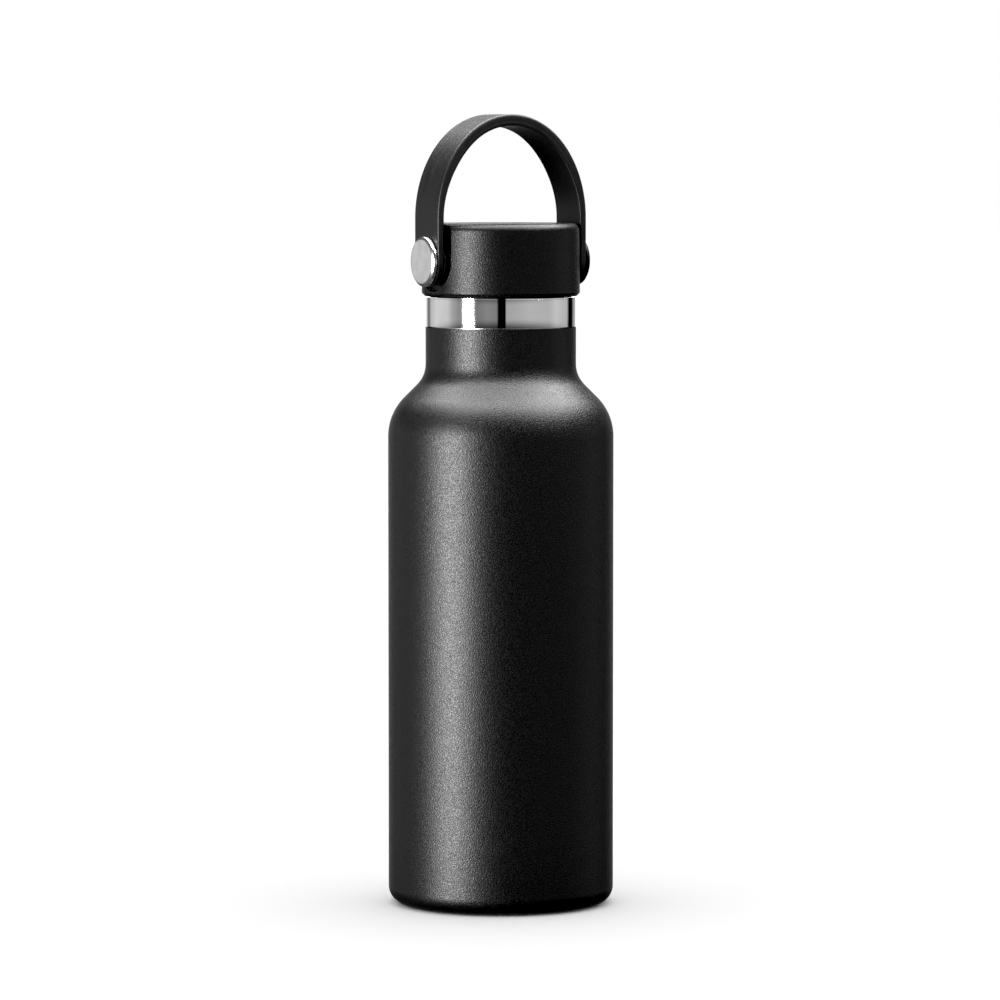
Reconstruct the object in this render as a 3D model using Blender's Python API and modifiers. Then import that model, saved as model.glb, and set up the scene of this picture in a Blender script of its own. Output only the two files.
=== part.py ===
"""Insulated water bottle: a double-walled steel flask, a screw cap and a swinging carry strap.

World frame in metres, +Z up, origin at the centre of the resting ring.
The strap's pins lie along X and the front of the bottle faces -Y.
Every constant below is in millimetres, and the mesh helpers turn it into metres.
"""
import math

import bmesh
import bpy
from mathutils import Matrix

MM = 0.001
GAP = 0.3              # clearance between pieces that touch or fit together
OBJECT_NAME = "insulated_water_bottle"

# Flask
BODY_R = 36.75         # straight side
NECK_R = 24.5          # coated neck
BASE_CORNER_R = 5.6
SIDE_TOP_Z = 152.9     # where the straight side gives way to the shoulder
SHOULDER_R = 17.9      # convex arc at the top of the side
NECK_ROOT_R = 9.8      # concave arc at the foot of the neck
COAT_TOP_Z = 188.5     # end of the coated shell, where the bare mouth ring begins
RIM_Z = 198.3          # mouth of the flask
OUTER_WALL = 0.5
LINER_WALL = 0.4
VACUUM_GAP = 2.0       # between the two walls

# Foot of the flask
REST_RING_R = 28.0     # inner edge of the flat ring that the flask stands on
RECESS_Z = 2.4         # underside of the outer bottom
RECESS_CORNER_R = 1.5
COVER_R = 25.5
COVER_Z = 0.9
COVER_T = 0.5
SEAL_HOLE_R = 1.5      # the hole that the air was drawn out through
SEAL_HEAD_R = 2.5
SEAL_HEAD_T = 0.4
GETTER_R = 5.0
GETTER_T = 0.8
GETTER_OFFSET = 12.0
LINER_BOTTOM_Z = 5.0

# Mouth
MOUTH_RING_R = 24.3
MOUTH_RING_T = 0.7
LINER_NECK_R = 22.3    # bore of the mouth between the threads
LIP_R = 24.1
LIP_BEND_R = 0.7

# Screw thread, right-handed, one start
THREAD_LEAD = 5.0
THREAD_TURNS = 1.5
THREAD_END_TAPER = 0.2     # of a turn, at each end
LINER_THREAD_R = 21.25     # crest of the ridge inside the mouth
LINER_THREAD_Z = 181.5     # middle of its lower end
LINER_THREAD_WIDTHS = (2.6, 1.0)
PLUG_THREAD_R = 21.95      # crest of the ridge on the plug
PLUG_THREAD_WIDTHS = (3.0, 1.2)
LINER_THREAD_ROOTING = 0.25
PLUG_THREAD_ROOTING = 0.4

# Cap
CAP_Z = RIM_Z + GAP    # underside of the cap's skirt
CAP_TOP_Z = 222.3
CAP_R = 25.75          # at the foot of the wall
CAP_TOP_R = 25.55
CAP_EDGE_R = 2.4       # rounding around the top
CAP_CHAMFER = 1.1
CAP_SOCKET_R = 23.4    # holds the plug's flange and the gasket
CAP_SOCKET_Z = 202.6
CAP_BORE_R = 21.4
CAP_CEILING_Z = 219.8
CAP_CEILING_FILLET = 1.2
FLAT_X = 23.85         # the two flats under the ends of the strap
FLAT_CORNER_R = 9.6    # their round lower end, about the pin
LEDGE_X = 25.0         # the foot of the wall below them is shaved to this, so the strap swings past
BOSS_R = 5.5
BOSS_X = (15.5, 22.5)

# Plug and seal
PLUG_R = 20.6
PLUG_WALL = 1.8
PLUG_Z = 176.0
FLANGE_R = 23.0
FLANGE_Z = (200.4, CAP_SOCKET_Z - GAP)
GASKET_R = (21.0, 23.0)
GASKET_EDGE = 0.35
PUCK_R = 18.4
PUCK_TOP_Z = 203.8

# Strap and its pivots, outward along X from the cap's axis
PIN_Z = 210.0
STRAP_W = 16.25
STRAP_IN_X = 25.2
STRAP_OUT_X = 27.5
ARCH_Z = 14.0          # above the pin, where the straight legs turn into the arch
ARCH_OUT_H = 33.6
ARCH_IN_H = 29.8
ARCH_IN_FLATNESS = 0.035   # how far the inside of the arch is drawn in from an ellipse
STRAP_EDGE_R = 0.5
WASHER_X = (24.1, 24.35)
WASHER_R = 7.0
BUSH_FLANGE_X = (24.6, 24.95)
BUSH_FLANGE_R = 6.2
BUSH_R = 3.6
PIN_HEAD_X = (27.8, 29.4)
PIN_HEAD_R = 8.1
PIN_FACE_R = 7.2
PIN_HEAD_CHAMFER = 1.05
PIN_SHANK_R = 2.4
PIN_TIP_X = 17.0
INSERT_X = (16.0, 23.0)
INSERT_R = 3.6

# Smoothness
ROUND_STEPS = 40       # flask and cap
SMALL_STEPS = 20       # pins, bushes and other small turned pieces
PIN_STEPS = 32
ARC_STEPS = 4
ARCH_STEPS = 24
SHARP_ANGLE = math.radians(32)

# name: colour, metallic, roughness
FINISHES = {
    "powder_coat": ((0.012, 0.012, 0.013), 0.0, 0.55),
    "bare_steel": ((0.62, 0.62, 0.61), 1.0, 0.18),
    "polished_steel": ((0.72, 0.72, 0.71), 1.0, 0.08),
    "satin_steel": ((0.60, 0.60, 0.60), 1.0, 0.35),
    "black_steel": ((0.01, 0.01, 0.01), 0.0, 0.5),
    "black_plastic": ((0.014, 0.014, 0.015), 0.0, 0.6),
    "grey_plastic": ((0.10, 0.10, 0.10), 0.0, 0.5),
    "black_rubber": ((0.02, 0.02, 0.021), 0.0, 0.5),
    "clear_silicone": ((0.55, 0.56, 0.57), 0.0, 0.45),
    "white_foam": ((0.75, 0.74, 0.70), 0.0, 0.9),
    "brass": ((0.60, 0.42, 0.16), 1.0, 0.3),
}


def clear_scene():
    """Remove what a new file starts with."""
    for obj in list(bpy.data.objects):
        bpy.data.objects.remove(obj, do_unlink=True)


def make_collection(name):
    collection = bpy.data.collections.new(name)
    bpy.context.scene.collection.children.link(collection)
    return collection


def make_finishes():
    materials = {}
    for name, (colour, metallic, roughness) in FINISHES.items():
        material = bpy.data.materials.new(name)
        material.use_nodes = True
        shader = material.node_tree.nodes["Principled BSDF"]
        shader.inputs["Base Color"].default_value = (*colour, 1.0)
        shader.inputs["Metallic"].default_value = metallic
        shader.inputs["Roughness"].default_value = roughness
        materials[name] = material
    return materials


# ---- outlines, as (radius, height) or (x, y) pairs in millimetres ----

def arc(centre, radius, start_deg, end_deg, steps=ARC_STEPS):
    """Points on a circle from one angle to the other, both ends included."""
    points = []
    for i in range(steps + 1):
        angle = math.radians(start_deg + (end_deg - start_deg) * i / steps)
        points.append((centre[0] + radius * math.cos(angle),
                       centre[1] + radius * math.sin(angle)))
    return points


def shoulder(wall_r, neck_r, convex_r, concave_r):
    """A shoulder from the neck down to the straight side: concave arc, 45 degree cone, convex arc."""
    diagonal = math.sqrt(0.5)
    cone_foot_r = wall_r - convex_r * (1 - diagonal)
    cone_top_r = neck_r + concave_r * (1 - diagonal)
    neck_z = SIDE_TOP_Z + (convex_r + concave_r) * diagonal + cone_foot_r - cone_top_r
    return (arc((neck_r + concave_r, neck_z), concave_r, 180, 225)
            + arc((wall_r - convex_r, SIDE_TOP_Z), convex_r, 45, 0))


def box_section(inner_r, outer_r, low, high, edge=0.0):
    """Section of a turned ring or disc, its outer edges cut at 45 degrees by `edge`."""
    outer = [(outer_r - edge, high), (outer_r, high - edge),
             (outer_r, low + edge), (outer_r - edge, low)] if edge else [(outer_r, high), (outer_r, low)]
    return [(inner_r, high)] + outer + [(inner_r, low)]


# ---- mesh helpers ----

def apply_modifiers(obj):
    """Replace the object's mesh with what its modifiers make, and shade its round faces smooth."""
    graph = bpy.context.evaluated_depsgraph_get()
    mesh = bpy.data.meshes.new_from_object(obj.evaluated_get(graph))
    old = obj.data
    obj.modifiers.clear()
    obj.data = mesh
    bpy.data.meshes.remove(old)
    mesh.name = obj.name
    mesh.shade_smooth()
    mesh.set_sharp_from_angle(angle=SHARP_ANGLE)


def turned(name, section, collection, steps=ROUND_STEPS, closed=True, wall=None):
    """Turn a section about Z. A section that starts and ends on the axis, or a shell, isn't closed."""
    mesh = bpy.data.meshes.new(name)
    count = len(section)
    edges = [(i, i + 1) for i in range(count - 1)]
    if closed:
        edges.append((count - 1, 0))
    mesh.from_pydata([(r * MM, 0, z * MM) for r, z in section], edges, [])
    obj = bpy.data.objects.new(name, mesh)
    collection.objects.link(obj)
    screw = obj.modifiers.new("turn", "SCREW")
    screw.angle = 2 * math.pi
    screw.steps = steps
    screw.render_steps = steps
    screw.use_merge_vertices = True
    screw.merge_threshold = 1e-6
    if wall:
        solid = obj.modifiers.new("wall", "SOLIDIFY")
        solid.thickness = wall * MM
        solid.offset = -1
        solid.use_even_offset = True
    apply_modifiers(obj)
    return obj


def extruded(name, outline, half_depth, collection):
    """A flat outline in local XY, extruded by half_depth both ways along local Z."""
    curve = bpy.data.curves.new(name, "CURVE")
    curve.dimensions = "2D"
    curve.fill_mode = "BOTH"
    curve.extrude = half_depth * MM
    spline = curve.splines.new("POLY")
    spline.points.add(len(outline) - 1)
    for point, (x, y) in zip(spline.points, outline):
        point.co = (x * MM, y * MM, 0, 1)
    spline.use_cyclic_u = True
    source = bpy.data.objects.new(name + "_curve", curve)
    collection.objects.link(source)
    graph = bpy.context.evaluated_depsgraph_get()
    mesh = bpy.data.meshes.new_from_object(source.evaluated_get(graph))
    bpy.data.objects.remove(source, do_unlink=True)
    shape = bmesh.new()
    shape.from_mesh(mesh)
    bmesh.ops.remove_doubles(shape, verts=shape.verts, dist=1e-6)
    bmesh.ops.recalc_face_normals(shape, faces=shape.faces)
    shape.to_mesh(mesh)
    shape.free()
    obj = bpy.data.objects.new(name, mesh)
    collection.objects.link(obj)
    return obj


def cut_or_join(obj, tool, operation):
    """Apply one exact Boolean, with its tool kept as a hidden cutter."""
    tool.hide_render = True
    tool.display_type = "WIRE"
    boolean = obj.modifiers.new(operation.lower(), "BOOLEAN")
    boolean.operation = operation
    boolean.object = tool
    apply_modifiers(obj)


def rod(name, radius, low, high, collection, steps=SMALL_STEPS):
    """A plain round bar about Z, used as a cutter or joined to another shape."""
    return turned(name, [(0, high), (radius, high), (radius, low), (0, low)],
                  collection, steps, closed=False)


def clear_bore(radius, steps=SMALL_STEPS):
    """Radius of a faceted bore that leaves GAP around a round bar of the given radius at any turn."""
    return (radius + GAP) / math.cos(math.pi / steps)


def lay_along_x(obj, side):
    """Turn a piece made about Z so that its upper end points outward at the pin, on side -1 or +1."""
    obj.rotation_euler = (0, side * math.pi / 2, 0)


def thread_ridge(name, root_r, crest_r, widths, low_z, rooting, collection):
    """A helical ridge of trapezoid section that runs out into the wall at both ends."""
    outward = 1 if crest_r > root_r else -1
    height = abs(crest_r - root_r)
    slope = (widths[0] - widths[1]) / 2 / height
    base_r = root_r - outward * rooting
    base_half = widths[0] / 2 + slope * rooting
    count = round(THREAD_TURNS * ROUND_STEPS)
    shape = bmesh.new()
    rings = []
    for i in range(count + 1):
        turns = i / ROUND_STEPS
        run_out = min(turns, THREAD_TURNS - turns) / THREAD_END_TAPER
        full = min(1.0, run_out)
        rise = (height + rooting / 2) * full + rooting / 2
        crest_half = base_half - slope * rise
        angle = 2 * math.pi * turns
        z = low_z + THREAD_LEAD * turns
        top_r = base_r + outward * rise
        section = [(base_r, z - base_half), (top_r, z - crest_half),
                   (top_r, z + crest_half), (base_r, z + base_half)]
        rings.append([shape.verts.new((r * MM * math.cos(angle), r * MM * math.sin(angle), h * MM))
                      for r, h in section])
    for near, far in zip(rings, rings[1:]):
        for j in range(4):
            k = (j + 1) % 4
            shape.faces.new((near[j], near[k], far[k], far[j]))
    shape.faces.new(rings[0])
    shape.faces.new(rings[-1])
    bmesh.ops.recalc_face_normals(shape, faces=shape.faces)
    mesh = bpy.data.meshes.new(name)
    shape.to_mesh(mesh)
    shape.free()
    obj = bpy.data.objects.new(name, mesh)
    collection.objects.link(obj)
    return obj


# ---- flask ----

def make_outer_shell(parts):
    """Coated shell: neck, shoulder, side and the ring it stands on."""
    section = ([(NECK_R, COAT_TOP_Z)]
               + shoulder(BODY_R, NECK_R, SHOULDER_R, NECK_ROOT_R)
               + arc((BODY_R - BASE_CORNER_R, BASE_CORNER_R), BASE_CORNER_R, 0, -90)
               + [(REST_RING_R, 0)])
    return turned("outer_shell", section, parts, closed=False, wall=OUTER_WALL)


def make_outer_bottom(parts, tools):
    """Recessed steel bottom, with the hole that the air was drawn out through."""
    edge_r = REST_RING_R - GAP
    top_z = RECESS_Z + OUTER_WALL
    section = ([(0, top_z)]
               + arc((edge_r - RECESS_CORNER_R, top_z - RECESS_CORNER_R), RECESS_CORNER_R, 90, 0)
               + [(edge_r, GAP)])
    bottom = turned("outer_bottom", section, parts, closed=False, wall=OUTER_WALL)
    drill = rod("seal_hole_drill", clear_bore(SEAL_HOLE_R - GAP), 1, 4, tools)
    cut_or_join(bottom, drill, "DIFFERENCE")
    return bottom


def make_base_cover(parts):
    """Thin disc in the recess that hides the sealed hole."""
    section = box_section(0, COVER_R, COVER_Z, COVER_Z + COVER_T, edge=0.15)
    return turned("base_cover", section, parts, closed=False)


def make_vacuum_seal(parts):
    """Headed plug of solder that closes the evacuation hole from below."""
    head_top = RECESS_Z - GAP
    shank_r = SEAL_HOLE_R - GAP
    section = [(0, RECESS_Z + OUTER_WALL + GAP), (shank_r, RECESS_Z + OUTER_WALL + GAP),
               (shank_r, head_top), (SEAL_HEAD_R, head_top),
               (SEAL_HEAD_R, head_top - SEAL_HEAD_T), (0, head_top - SEAL_HEAD_T)]
    return turned("vacuum_seal", section, parts, SMALL_STEPS, closed=False)


def make_getter(parts):
    """Disc inside the vacuum that takes up the last of the gas."""
    low = RECESS_Z + OUTER_WALL + GAP
    section = box_section(0, GETTER_R, low, low + GETTER_T, edge=0.2)
    getter = turned("getter", section, parts, SMALL_STEPS, closed=False)
    getter.location.x = GETTER_OFFSET * MM
    return getter


def make_inner_bottom(parts):
    """Dished bottom of the liner."""
    wall_r = BODY_R - OUTER_WALL - VACUUM_GAP
    section = (arc((wall_r - BASE_CORNER_R, LINER_BOTTOM_Z + BASE_CORNER_R), BASE_CORNER_R, 0, -90)
               + [(0, LINER_BOTTOM_Z)])
    section.insert(0, (wall_r, LINER_BOTTOM_Z + BASE_CORNER_R + GAP))
    return turned("inner_bottom", section, parts, closed=False, wall=LINER_WALL)


def make_inner_liner(parts, tools):
    """Liner from its bottom weld to the lip, with the thread that holds the cap."""
    inset = OUTER_WALL + VACUUM_GAP
    neck_r = LINER_NECK_R + LINER_WALL
    lip_z = RIM_Z - LINER_WALL
    neck_root_r = NECK_ROOT_R + NECK_R - neck_r
    section = ([(LIP_R, lip_z)]
               + arc((neck_r + LIP_BEND_R, lip_z - LIP_BEND_R), LIP_BEND_R, 90, 180, 3)
               + shoulder(BODY_R - inset, neck_r, SHOULDER_R - inset, neck_root_r)
               + [(BODY_R - inset, LINER_BOTTOM_Z + BASE_CORNER_R + 2 * GAP)])
    liner = turned("inner_liner", section, parts, closed=False, wall=LINER_WALL)
    ridge = thread_ridge("liner_thread_ridge", LINER_NECK_R, LINER_THREAD_R, LINER_THREAD_WIDTHS,
                         LINER_THREAD_Z, LINER_THREAD_ROOTING, tools)
    cut_or_join(liner, ridge, "UNION")
    return liner


def make_mouth_ring(parts):
    """Bare polished ring between the coating and the lip."""
    section = box_section(MOUTH_RING_R - MOUTH_RING_T, MOUTH_RING_R, COAT_TOP_Z + GAP,
                          RIM_Z - LINER_WALL - GAP, edge=0.1)
    return turned("mouth_ring", section, parts)


# ---- seal and cap ----

def make_gasket(parts):
    """Silicone ring squeezed between the lip and the plug's flange."""
    section = box_section(*GASKET_R, CAP_Z, FLANGE_Z[0] - GAP, edge=GASKET_EDGE)
    return turned("gasket", section, parts)


def make_cap_shell(parts, tools):
    """Outer cap: round wall with two flats, a socket for the plug and bosses for the inserts."""
    section = ([(0, CAP_TOP_Z)]
               + arc((CAP_TOP_R - CAP_EDGE_R, CAP_TOP_Z - CAP_EDGE_R), CAP_EDGE_R, 90, 0)
               + [(CAP_R, CAP_Z + CAP_CHAMFER), (CAP_R - CAP_CHAMFER, CAP_Z),
                  (CAP_SOCKET_R, CAP_Z), (CAP_SOCKET_R, CAP_SOCKET_Z), (CAP_BORE_R, CAP_SOCKET_Z)]
               + arc((CAP_BORE_R - CAP_CEILING_FILLET, CAP_CEILING_Z - CAP_CEILING_FILLET),
                     CAP_CEILING_FILLET, 0, 90, 2)
               + [(0, CAP_CEILING_Z)])
    cap = turned("cap_shell", section, parts, closed=False)
    for side, word in ((-1, "left"), (1, "right")):
        boss = rod("boss_" + word, BOSS_R, *BOSS_X, tools)
        boss.location.z = PIN_Z * MM
        lay_along_x(boss, side)
        cut_or_join(cap, boss, "UNION")
    for side, word in ((-1, "left"), (1, "right")):
        cut_or_join(cap, make_flat_cutter("flat_cutter_" + word, side, tools), "DIFFERENCE")
        cut_or_join(cap, make_ledge_cutter("ledge_cutter_" + word, side, tools), "DIFFERENCE")
        drill = rod("insert_drill_" + word, clear_bore(INSERT_R), BOSS_X[0] - 1, FLAT_X + 1, tools)
        drill.location.z = PIN_Z * MM
        lay_along_x(drill, side)
        cut_or_join(cap, drill, "DIFFERENCE")
    return cap


def make_flat_cutter(name, side, tools):
    """Block that cuts one flat, round at its lower end about the pin and open at the top."""
    over_top = CAP_TOP_Z - PIN_Z + 2
    half_depth = 3.0
    outline = [(over_top, FLAT_CORNER_R), *arc((0, 0), FLAT_CORNER_R, 90, 270, 16),
               (over_top, -FLAT_CORNER_R)]
    block = extruded(name, outline, half_depth, tools)
    block.rotation_euler = (0, -math.pi / 2, 0)
    block.location = (side * (FLAT_X + half_depth) * MM, 0, PIN_Z * MM)
    return block


def make_ledge_cutter(name, side, tools):
    """Block that shaves the foot of the wall below one flat."""
    depth, width, height = 4.0, 2 * FLAT_CORNER_R, CAP_TOP_Z - CAP_Z + 4
    bpy.ops.mesh.primitive_cube_add(size=1)
    block = bpy.context.object
    block.name = name
    block.data.transform(Matrix.Diagonal((depth * MM, width * MM, height * MM, 1)))
    block.location = (side * (LEDGE_X + depth / 2) * MM, 0, (CAP_TOP_Z + CAP_Z) / 2 * MM)
    for collection in list(block.users_collection):
        collection.objects.unlink(block)
    tools.objects.link(block)
    return block


def make_cap_plug(parts, tools):
    """Threaded cup under the cap that closes the mouth, with the flange that carries the gasket."""
    inner_r = PLUG_R - PLUG_WALL
    section = [(inner_r, FLANGE_Z[1]), (FLANGE_R, FLANGE_Z[1]), (FLANGE_R, FLANGE_Z[0]),
               (PLUG_R, FLANGE_Z[0])]
    section += arc((PLUG_R - PLUG_WALL, PLUG_Z + PLUG_WALL), PLUG_WALL, 0, -90, 3)
    section += [(0, PLUG_Z), (0, PLUG_Z + PLUG_WALL), (inner_r, PLUG_Z + PLUG_WALL)]
    plug = turned("cap_plug", section, parts)
    ridge_z = LINER_THREAD_Z - THREAD_LEAD / 2
    ridge = thread_ridge("plug_thread_ridge", PLUG_R, PLUG_THREAD_R, PLUG_THREAD_WIDTHS,
                         ridge_z, PLUG_THREAD_ROOTING, tools)
    cut_or_join(plug, ridge, "UNION")
    return plug


def make_insulation_puck(parts):
    """Block of foam that fills the plug."""
    section = box_section(0, PUCK_R, PLUG_Z + PLUG_WALL + GAP, PUCK_TOP_Z, edge=0.8)
    return turned("insulation_puck", section, parts, closed=False)


def make_insert(word, side, parts):
    """Brass threaded insert in the cap's boss, which the pin screws into."""
    section = box_section(clear_bore(PIN_SHANK_R), INSERT_R, *INSERT_X, edge=0.3)
    insert = turned("insert_" + word, section, parts, SMALL_STEPS)
    place_on_pin_axis(insert, side)
    return insert


def make_pin(word, side, parts):
    """Headed steel pin that the strap turns on, fixed in the cap."""
    head_in, head_out = PIN_HEAD_X
    chamfer_foot = head_out - PIN_HEAD_CHAMFER
    rounding = (PIN_HEAD_R - PIN_FACE_R) / 3
    tip_chamfer = 0.4
    section = [(0, head_out), (PIN_FACE_R, head_out),
               (PIN_HEAD_R - rounding, head_out - rounding),
               (PIN_HEAD_R, chamfer_foot), (PIN_HEAD_R, head_in),
               (PIN_SHANK_R, head_in), (PIN_SHANK_R, PIN_TIP_X + tip_chamfer),
               (PIN_SHANK_R - tip_chamfer, PIN_TIP_X), (0, PIN_TIP_X)]
    pin = turned("pin_" + word, section, parts, PIN_STEPS, closed=False)
    place_on_pin_axis(pin, side)
    return pin


def make_washer(word, side, parts):
    """Thin washer between the cap's flat and the bush, which drags enough to hold the strap up."""
    section = box_section(clear_bore(PIN_SHANK_R), WASHER_R, *WASHER_X)
    washer = turned("washer_" + word, section, parts, SMALL_STEPS)
    place_on_pin_axis(washer, side)
    return washer


def place_on_pin_axis(obj, side):
    obj.location.z = PIN_Z * MM
    lay_along_x(obj, side)


# ---- strap ----

def make_strap(parts, tools):
    """Arched strap: two straight legs with round eyes, and a half-ellipse that thickens to the crown."""
    overlap = 1.0
    leg_foot = -STRAP_W / 2 - overlap
    outline = [(STRAP_OUT_X, leg_foot)] + arch(STRAP_OUT_X, ARCH_OUT_H) + [(-STRAP_OUT_X, leg_foot)]
    outline += [(-STRAP_IN_X, leg_foot)] + arch(STRAP_IN_X, ARCH_IN_H, ARCH_IN_FLATNESS)[::-1]
    outline += [(STRAP_IN_X, leg_foot)]
    strap = extruded("strap", outline, STRAP_W / 2 + overlap, parts)
    strap.rotation_euler = (math.pi / 2, 0, 0)
    strap.location.z = PIN_Z * MM

    trim_top = ARCH_Z + ARCH_OUT_H + overlap
    half_w = STRAP_W / 2
    trim = extruded("strap_trim", [(trim_top, half_w), *arc((0, 0), half_w, 90, 270, 16),
                                   (trim_top, -half_w)], STRAP_OUT_X + overlap, tools)
    trim.rotation_euler = (0, -math.pi / 2, 0)
    trim.location.z = PIN_Z * MM
    cut_or_join(strap, trim, "INTERSECT")

    reach = STRAP_OUT_X + overlap
    drill = rod("strap_eye_drill", clear_bore(BUSH_R), -reach, reach, tools)
    place_on_pin_axis(drill, 1)
    cut_or_join(strap, drill, "DIFFERENCE")
    round_edges(strap, STRAP_EDGE_R)
    return strap


def arch(half_span, height, flatness=0.0):
    """Half-ellipse, or a slightly pointed one, from the right leg over the crown to the left leg."""
    points = []
    for i in range(ARCH_STEPS + 1):
        angle = math.pi * i / ARCH_STEPS
        drawn_in = 1 - flatness * math.sin(2 * angle) ** 2
        points.append((half_span * drawn_in * math.cos(angle), ARCH_Z + height * math.sin(angle)))
    return points


def round_edges(obj, radius):
    bevel = obj.modifiers.new("rounded_edges", "BEVEL")
    bevel.width = radius * MM
    bevel.segments = 2
    bevel.limit_method = "ANGLE"
    bevel.angle_limit = math.radians(50)
    apply_modifiers(obj)


def make_bush(word, side, parts):
    """Flanged bush in the strap's eye, turning on the pin with the strap."""
    bore = clear_bore(PIN_SHANK_R)
    low, flange_top = BUSH_FLANGE_X
    section = [(bore, STRAP_OUT_X), (BUSH_R, STRAP_OUT_X), (BUSH_R, flange_top),
               (BUSH_FLANGE_R, flange_top), (BUSH_FLANGE_R, low), (bore, low)]
    bush = turned("bush_" + word, section, parts, SMALL_STEPS)
    place_on_pin_axis(bush, side)
    return bush


# ---- assembly ----

def hang_on_axis(name, height, pieces, parts, parent=None):
    """Parent pieces to an empty that stands on their joint's axis, leaving them where they are."""
    empty = bpy.data.objects.new(name, None)
    parts.objects.link(empty)
    empty.location.z = height * MM
    bpy.context.view_layer.update()
    for piece in pieces:
        piece.parent = empty
        piece.matrix_parent_inverse = empty.matrix_world.inverted()
    if parent:
        empty.parent = parent
        empty.matrix_parent_inverse = parent.matrix_world.inverted()
    return empty


def build():
    clear_scene()
    parts = make_collection(OBJECT_NAME)
    tools = make_collection(OBJECT_NAME + "_cutters")
    finishes = make_finishes()
    sides = (("left", -1), ("right", 1))
    pin_finishes = {"left": "satin_steel", "right": "black_steel"}

    flask = {
        make_outer_shell(parts): "powder_coat",
        make_outer_bottom(parts, tools): "powder_coat",
        make_base_cover(parts): "bare_steel",
        make_vacuum_seal(parts): "bare_steel",
        make_getter(parts): "bare_steel",
        make_inner_bottom(parts): "bare_steel",
        make_inner_liner(parts, tools): "bare_steel",
        make_mouth_ring(parts): "polished_steel",
    }
    seal = {make_gasket(parts): "clear_silicone"}
    cap = {
        make_cap_shell(parts, tools): "black_plastic",
        make_cap_plug(parts, tools): "black_plastic",
        make_insulation_puck(parts): "white_foam",
    }
    strap = {make_strap(parts, tools): "black_rubber"}
    for word, side in sides:
        cap[make_insert(word, side, parts)] = "brass"
        cap[make_pin(word, side, parts)] = pin_finishes[word]
        cap[make_washer(word, side, parts)] = "grey_plastic"
        strap[make_bush(word, side, parts)] = "grey_plastic"

    for group in (flask, seal, cap, strap):
        for piece, finish in group.items():
            piece.data.materials.clear()
            piece.data.materials.append(finishes[finish])

    seal_axis = hang_on_axis("seal_axis", CAP_Z, seal, parts)
    cap_axis = hang_on_axis("cap_axis", CAP_Z, cap, parts, parent=seal_axis)
    hang_on_axis("strap_axis", PIN_Z, strap, parts, parent=cap_axis)


build()
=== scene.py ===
"""Looks of the insulated water bottle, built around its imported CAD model. Metres, +Z up."""

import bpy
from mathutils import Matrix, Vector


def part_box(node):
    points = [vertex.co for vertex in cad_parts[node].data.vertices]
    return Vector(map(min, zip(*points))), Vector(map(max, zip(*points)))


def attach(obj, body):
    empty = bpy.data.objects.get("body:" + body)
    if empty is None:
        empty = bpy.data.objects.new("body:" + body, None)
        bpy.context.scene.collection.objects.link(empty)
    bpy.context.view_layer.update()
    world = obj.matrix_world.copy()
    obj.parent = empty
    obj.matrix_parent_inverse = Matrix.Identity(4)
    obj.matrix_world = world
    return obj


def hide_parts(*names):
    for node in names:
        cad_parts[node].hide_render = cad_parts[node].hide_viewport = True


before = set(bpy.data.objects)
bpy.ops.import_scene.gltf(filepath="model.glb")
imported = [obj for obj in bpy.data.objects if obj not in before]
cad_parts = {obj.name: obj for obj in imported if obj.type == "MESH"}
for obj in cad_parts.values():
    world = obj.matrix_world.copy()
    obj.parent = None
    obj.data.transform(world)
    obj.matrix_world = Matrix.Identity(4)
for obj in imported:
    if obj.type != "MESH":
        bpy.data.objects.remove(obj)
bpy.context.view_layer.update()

import math

import bmesh
import bpy
import numpy as np
from mathutils import Vector

MM = 0.001
SIDES = (("left", -1), ("right", 1))


# ---- sizes, in millimetres, read from the CAD nodes or shared with their design ----

def node_size(node):
    """(lowest corner, highest corner) of a CAD node in millimetres."""
    low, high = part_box(node)
    return np.array(low) / MM, np.array(high) / MM


SHELL_HIGH = node_size("outer_shell")[1]
RING_LOW, RING_HIGH = node_size("mouth_ring")
LINER_LOW, LINER_HIGH = node_size("inner_liner")
CAP_LOW, CAP_HIGH = node_size("cap_shell")
PLUG_LOW, PLUG_HIGH = node_size("cap_plug")
GASKET_LOW, GASKET_HIGH = node_size("gasket")
STRAP_LOW, STRAP_HIGH = node_size("strap")
BOTTOM_LOW, BOTTOM_HIGH = node_size("outer_bottom")
COVER_LOW, COVER_HIGH = node_size("base_cover")
FLOOR_LOW, FLOOR_HIGH = node_size("inner_bottom")
PIN_LOW, PIN_HIGH = node_size("pin_right")
WASHER_LOW, WASHER_HIGH = node_size("washer_right")
BUSH_LOW, BUSH_HIGH = node_size("bush_right")

BODY_R = SHELL_HIGH[0]
NECK_R = 24.5
OUTER_WALL = 0.5
LINER_WALL = 0.4
VACUUM_INSET = 2.5         # from the shell's outside to the liner's outside
BASE_CORNER_R = 5.6
REST_RING_R = 28.0
SIDE_TOP_Z = 152.9
SHOULDER_R = 17.9
NECK_ROOT_R = 9.8
LINER_NECK_R = 22.3
RING_WALL = 0.7
LIP_GAP = 0.02             # the fine line between the lip and the mouth band
LIP_R = RING_HIGH[0] - LIP_GAP
LIP_BEND_R = 0.7
RECESS_CORNER_R = 1.5
SEAL_HOLE_R = 1.5

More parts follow.
